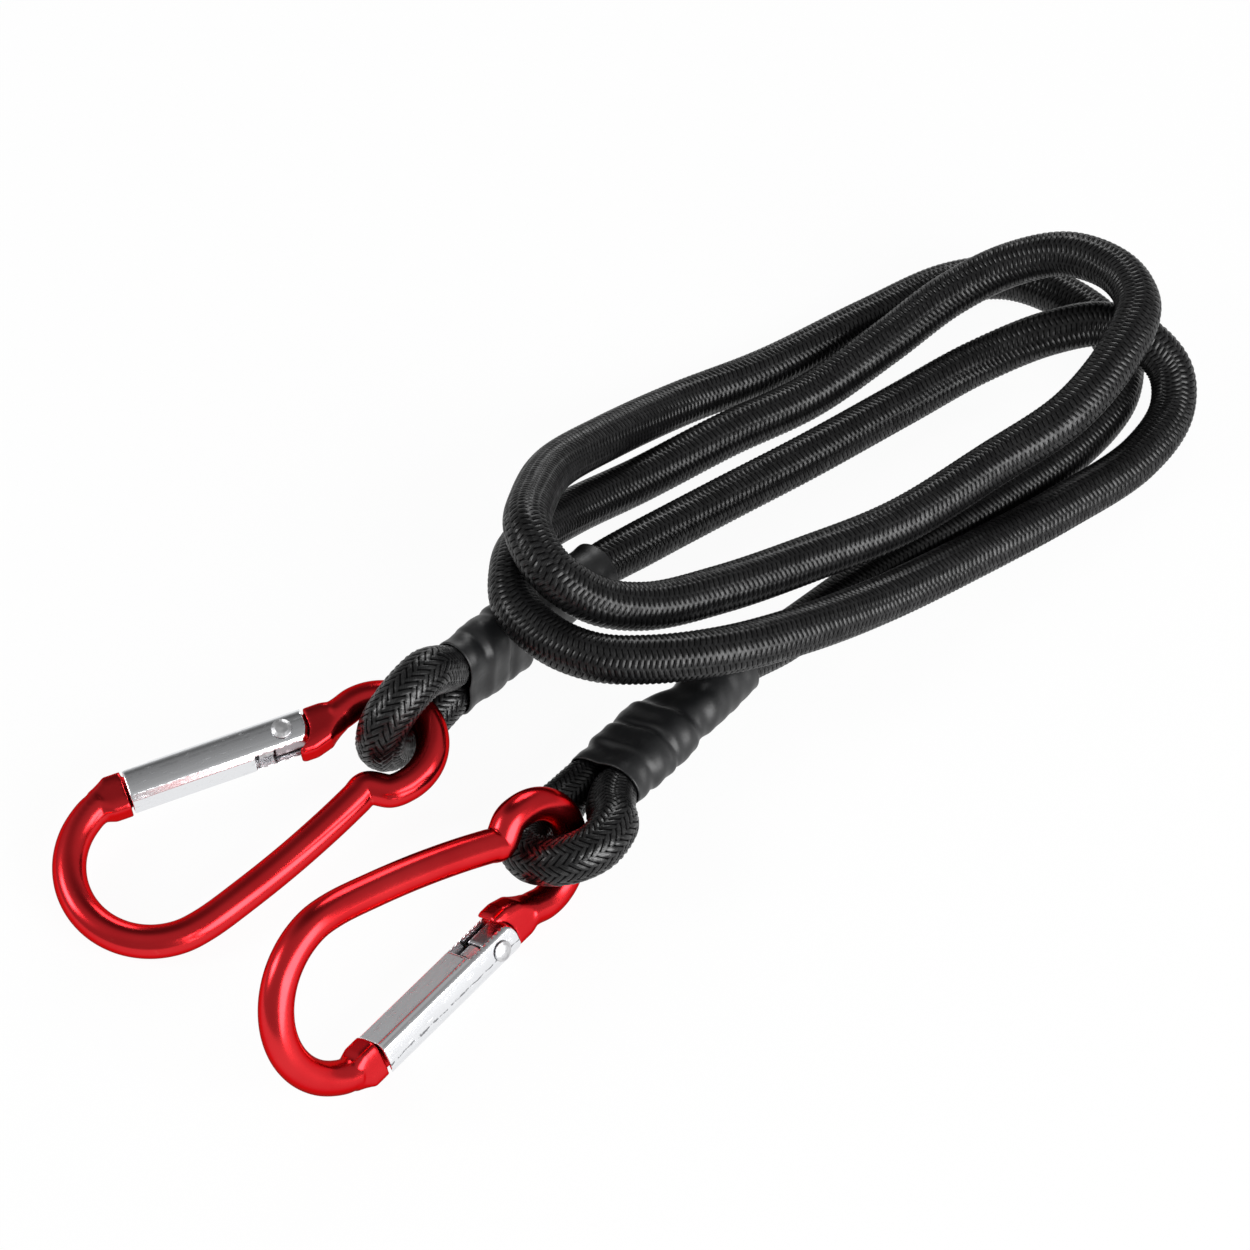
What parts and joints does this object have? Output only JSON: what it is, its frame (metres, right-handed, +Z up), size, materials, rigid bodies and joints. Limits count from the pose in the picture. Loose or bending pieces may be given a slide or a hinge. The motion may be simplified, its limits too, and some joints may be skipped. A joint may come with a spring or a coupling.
{
  "type": "bungee cord",
  "caption": "Elastic cord folded into a loose hank, with a sleeved end loop at each end that holds a snap hook with a sprung gate.",
  "frame": {"origin": "centre of the part's box, on the surface that the hank lies on", "axes": "+Z up off that surface, +Y away from the snap hooks' side of the view, +X to the right in the picture"},
  "size_m": [0.1776, 0.1703, 0.0302],
  "materials": {
    "black_braid": "woven, slight sheen",
    "core_rubber": "matte",
    "sleeve_plastic": "satin",
    "crimp_metal": "plain",
    "red_anodised": "red anodised, glossy",
    "bare_aluminium": "brushed",
    "rivet_steel": "satin",
    "spring_steel": "plain"
  },
  "bodies": {
    "cord": {"cord_cover": "black_braid", "cord_core": "core_rubber", "end_sleeve_a": "sleeve_plastic", "end_sleeve_b": "sleeve_plastic", "crimp_ring_a_1": "crimp_metal", "crimp_ring_a_2": "crimp_metal", "crimp_ring_b_1": "crimp_metal", "crimp_ring_b_2": "crimp_metal"},
    "carabiner_a": {"carabiner_body_a": "red_anodised"},
    "gate_a": {"gate_a": "bare_aluminium", "rivet_a": "rivet_steel", "gate_spring_a": "spring_steel"},
    "plunger_a": {"plunger_a": "spring_steel"},
    "carabiner_b": {"carabiner_body_b": "red_anodised"},
    "gate_b": {"gate_b": "bare_aluminium", "rivet_b": "rivet_steel", "gate_spring_b": "spring_steel"},
    "plunger_b": {"plunger_b": "spring_steel"}
  },
  "joints": [
    {"name": "carabiner_a_swing", "type": "hinge", "parent": "cord", "child": "carabiner_a", "pos_m": [-0.04207, -0.02484, 0.00967], "axis": [-0.0024, -0.2202, 0.9755], "range_deg": [-40, 0]},
    {"name": "gate_a_hinge", "type": "hinge", "parent": "carabiner_a", "child": "gate_a", "pos_m": [-0.05651, -0.02376, 0.00988], "axis": [-0.0024, -0.2202, 0.9755], "range_deg": [0, 35], "stiffness_Nm_per_rad": 0.08, "springref_deg": -17.19},
    {"name": "plunger_a_slide", "type": "slide", "parent": "gate_a", "child": "plunger_a", "axis": [-0.9318, -0.3535, -0.0821], "range_m": [0, 0.0007], "deforming": ["gate_spring_a"]},
    {"name": "carabiner_b_swing", "type": "hinge", "parent": "cord", "child": "carabiner_b", "pos_m": [-0.01899, -0.04567, 0.00976], "axis": [-0.7085, 0.5773, -0.4059], "range_deg": [0, 40]},
    {"name": "gate_b_hinge", "type": "hinge", "parent": "carabiner_b", "child": "gate_b", "pos_m": [-0.02529, -0.0574, 0.00407], "axis": [-0.7085, 0.5773, -0.4059], "range_deg": [0, 35], "stiffness_Nm_per_rad": 0.08, "springref_deg": -17.19},
    {"name": "plunger_b_slide", "type": "slide", "parent": "gate_b", "child": "plunger_b", "axis": [-0.6325, -0.7745, 0.0026], "range_m": [0, 0.0007], "deforming": ["gate_spring_b"]}
  ],
  "couplings": [
    {"joint": "plunger_a_slide", "follows": "gate_a_hinge", "m_per_rad": 0.001},
    {"joint": "plunger_b_slide", "follows": "gate_b_hinge", "m_per_rad": 0.001}
  ]
}
